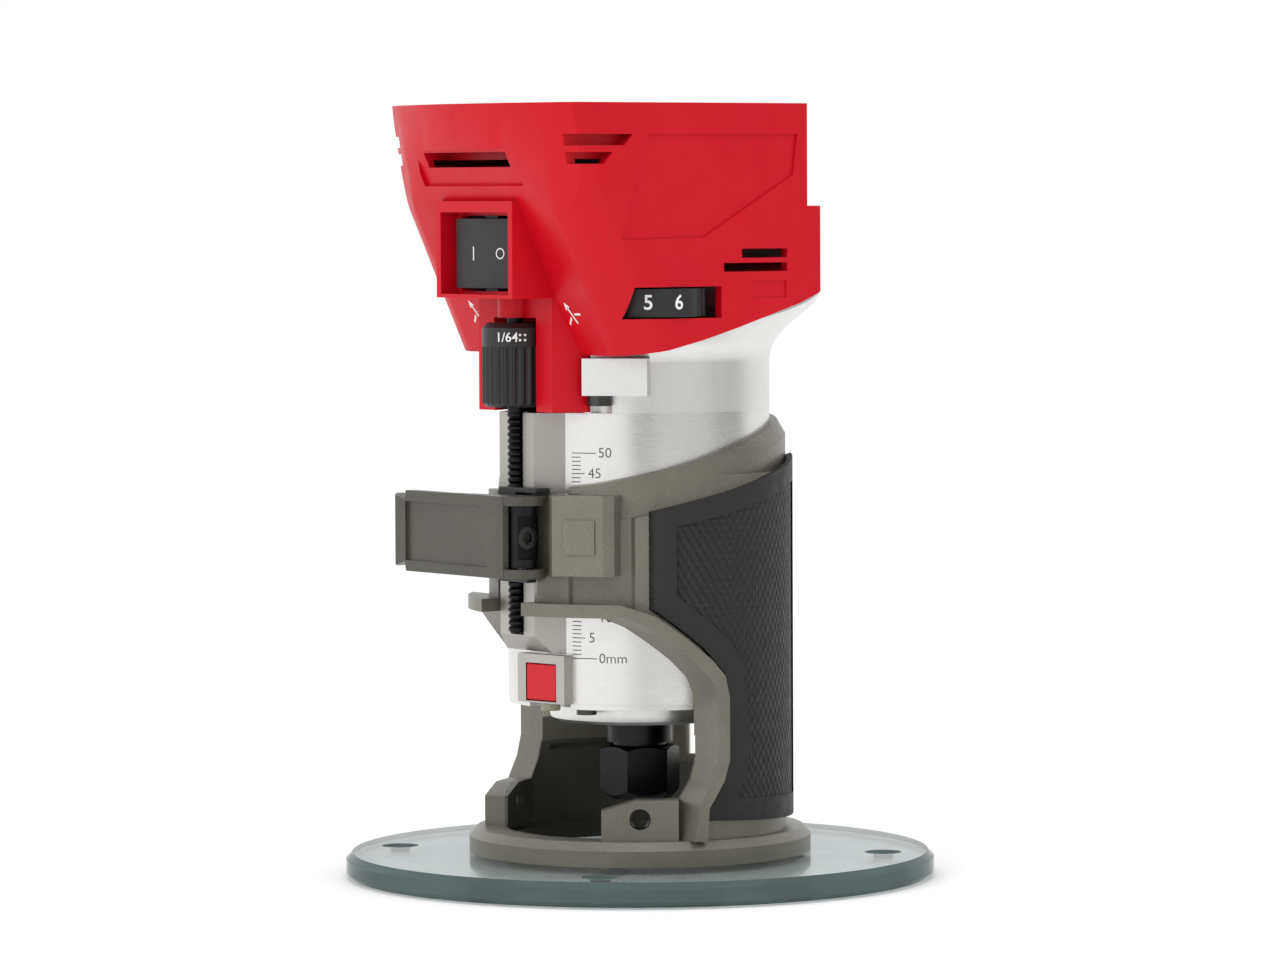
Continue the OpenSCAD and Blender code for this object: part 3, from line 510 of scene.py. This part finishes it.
def lock_arrows():
    """A leaning arrow with two short bars on either side of the depth knob."""
    marks = Print()
    turn, size = math.radians(26), 1.25
    out, height = 20.4, 139.9

    def leaning(points):
        return [(size * (x * math.cos(turn) - y * math.sin(turn)),
                 size * (x * math.sin(turn) + y * math.cos(turn))) for x, y in points]

    quad = [[0, 1, 2, 3]]
    for side in (-1, 1):
        where = on_front(side * out, height)
        marks.add(leaning([(-0.22, -2.4), (0.22, -2.4), (0.22, 1.4), (-0.22, 1.4)]), quad, where)
        marks.add(leaning([(-0.85, 1.1), (0.85, 1.1), (0, 2.6)]), [[0, 1, 2]], where)
        for k in (-1, 1):
            bar = [(k * 0.8, -0.9), (k * 2.6, -1.7), (k * 2.6, -1.2), (k * 0.8, -0.4)]
            marks.add(leaning(bar), quad, where)
    marks.make("lock_arrows", WHITE_INK, "motor")


def guide_thread(name, azimuth):
    """A cut thread as a helical strip between root and crest, in a hole that points at the tool's axis."""
    start, end, root_r, crest_r, pitch, sides = 32.6, 37.2, 2.58, 2.2, 0.85, 32
    a = math.radians(azimuth)
    axis = Vector((math.sin(a), -math.cos(a), 0))
    across = Vector((math.cos(a), math.sin(a), 0))
    up = Vector((0, 0, 1))
    turns = int((end - start) / pitch)
    rings = []
    for turn in range(turns):
        rings += [(start + turn * pitch, root_r), (start + turn * pitch + pitch * 0.5, crest_r)]
    rings.append((start + turns * pitch, root_r))
    verts = []
    for away, radius in rings:
        for i in range(sides):
            w = 2 * math.pi * i / sides
            outward = (across * math.cos(w) + up * math.sin(w)) * radius
            point = axis * (away + pitch * i / sides * 0.999) + outward
            verts.append((point.x, point.y, point.z + GUIDE_Z))
    faces = []
    for j in range(len(rings) - 1):
        here, above = j * sides, (j + 1) * sides
        faces += [[here + i, here + i + 1, above + i + 1, above + i] for i in range(sides - 1)]
        if j + 2 < len(rings):
            two_up = (j + 2) * sides
            three_up = (j + 3) * sides if j + 3 < len(rings) else two_up
            faces.append([here + sides - 1, two_up, three_up, above + sides - 1])
    add_mesh(name, verts, faces, FINISH["bright_steel"], "base")


barrel_scale()
knob_marks()
dial_numerals()
switch_signs()
lock_arrows()
guide_thread("guide_thread_right", GUIDE_AZIMUTH)
guide_thread("guide_thread_left", -GUIDE_AZIMUTH)


# ---------- stage, light, camera ----------

def matt(name, grey, rough):
    material = bpy.data.materials.new(name)
    material.use_nodes = True
    inputs = material.node_tree.nodes["Principled BSDF"].inputs
    inputs["Base Color"].default_value = (grey, grey, grey, 1)
    inputs["Roughness"].default_value = rough
    return material


def facing(target, location):
    return (Vector(target) - Vector(location)).to_track_quat("-Z", "Y").to_euler()


def area(name, location, target, size, power):
    light = bpy.data.lights.new(name, "AREA")
    light.energy = power
    light.size = size
    lamp = bpy.data.objects.new(name, light)
    lamp.location = location
    lamp.rotation_euler = facing(target, location)
    lamp.visible_camera = False
    scene.collection.objects.link(lamp)


def card(name, azimuth, away, width, height, grey):
    """A grey studio card that gives the bare metal something darker to reflect."""
    w, h = width / 2, height / 2
    mesh = bpy.data.meshes.new(name)
    mesh.from_pydata([(-w, -h, 0), (w, -h, 0), (w, h, 0), (-w, h, 0)], [], [[0, 1, 2, 3]])
    mesh.materials.append(matt(name, grey, 0.9))
    piece = bpy.data.objects.new(name, mesh)
    a = math.radians(azimuth)
    piece.location = (away * math.sin(a), -away * math.cos(a), 0.3)
    piece.rotation_euler = facing((0, 0, 0.12), piece.location)
    scene.collection.objects.link(piece)
    piece.visible_camera = False
    piece.visible_diffuse = False
    piece.visible_shadow = False
    piece.visible_transmission = False


bpy.ops.mesh.primitive_plane_add(size=12, location=(0, 0, -0.0004))
floor = bpy.context.object
floor.name = "floor"
paper = matt("floor", 1, 0.9)
paper.node_tree.nodes["Principled BSDF"].inputs["Specular IOR Level"].default_value = 0
floor.data.materials.append(paper)

scene.world = bpy.data.worlds.new("studio")
scene.world.use_nodes = True
sky = scene.world.node_tree.nodes["Background"].inputs
sky["Color"].default_value = (1, 1, 1, 1)
sky["Strength"].default_value = 1.0

area("key", (0.2, -1.5, 0.9), (0, 0, 0.12), 0.7, 4)
area("top", (0.3, -0.2, 1.6), (0, 0, 0.1), 1.0, 3.5)
card("card_wide", 100, 1.5, 2.9, 1.6, 0.4)
card("card_mid", 57, 1.3, 0.45, 1.4, 0.12)
card("card_right", 140, 1.2, 0.8, 1.4, 0.18)

lens = bpy.data.cameras.new("camera")
lens.sensor_width = 36
lens.lens = 164.76
lens.clip_start = 0.05
lens.clip_end = 30
camera = bpy.data.objects.new("camera", lens)
scene.collection.objects.link(camera)
camera.location = (1.1731, -0.8523, 0.170)
pan = Matrix.Rotation(math.radians(54 - 0.0147), 4, "Z")
tilt = Matrix.Rotation(math.radians(90 - 2.853), 4, "X")
roll = Matrix.Rotation(-0.0045, 4, "Z")
camera.rotation_euler = (pan @ tilt @ roll).to_euler()
scene.camera = camera

scene.view_settings.view_transform = "Standard"
scene.view_settings.look = "None"
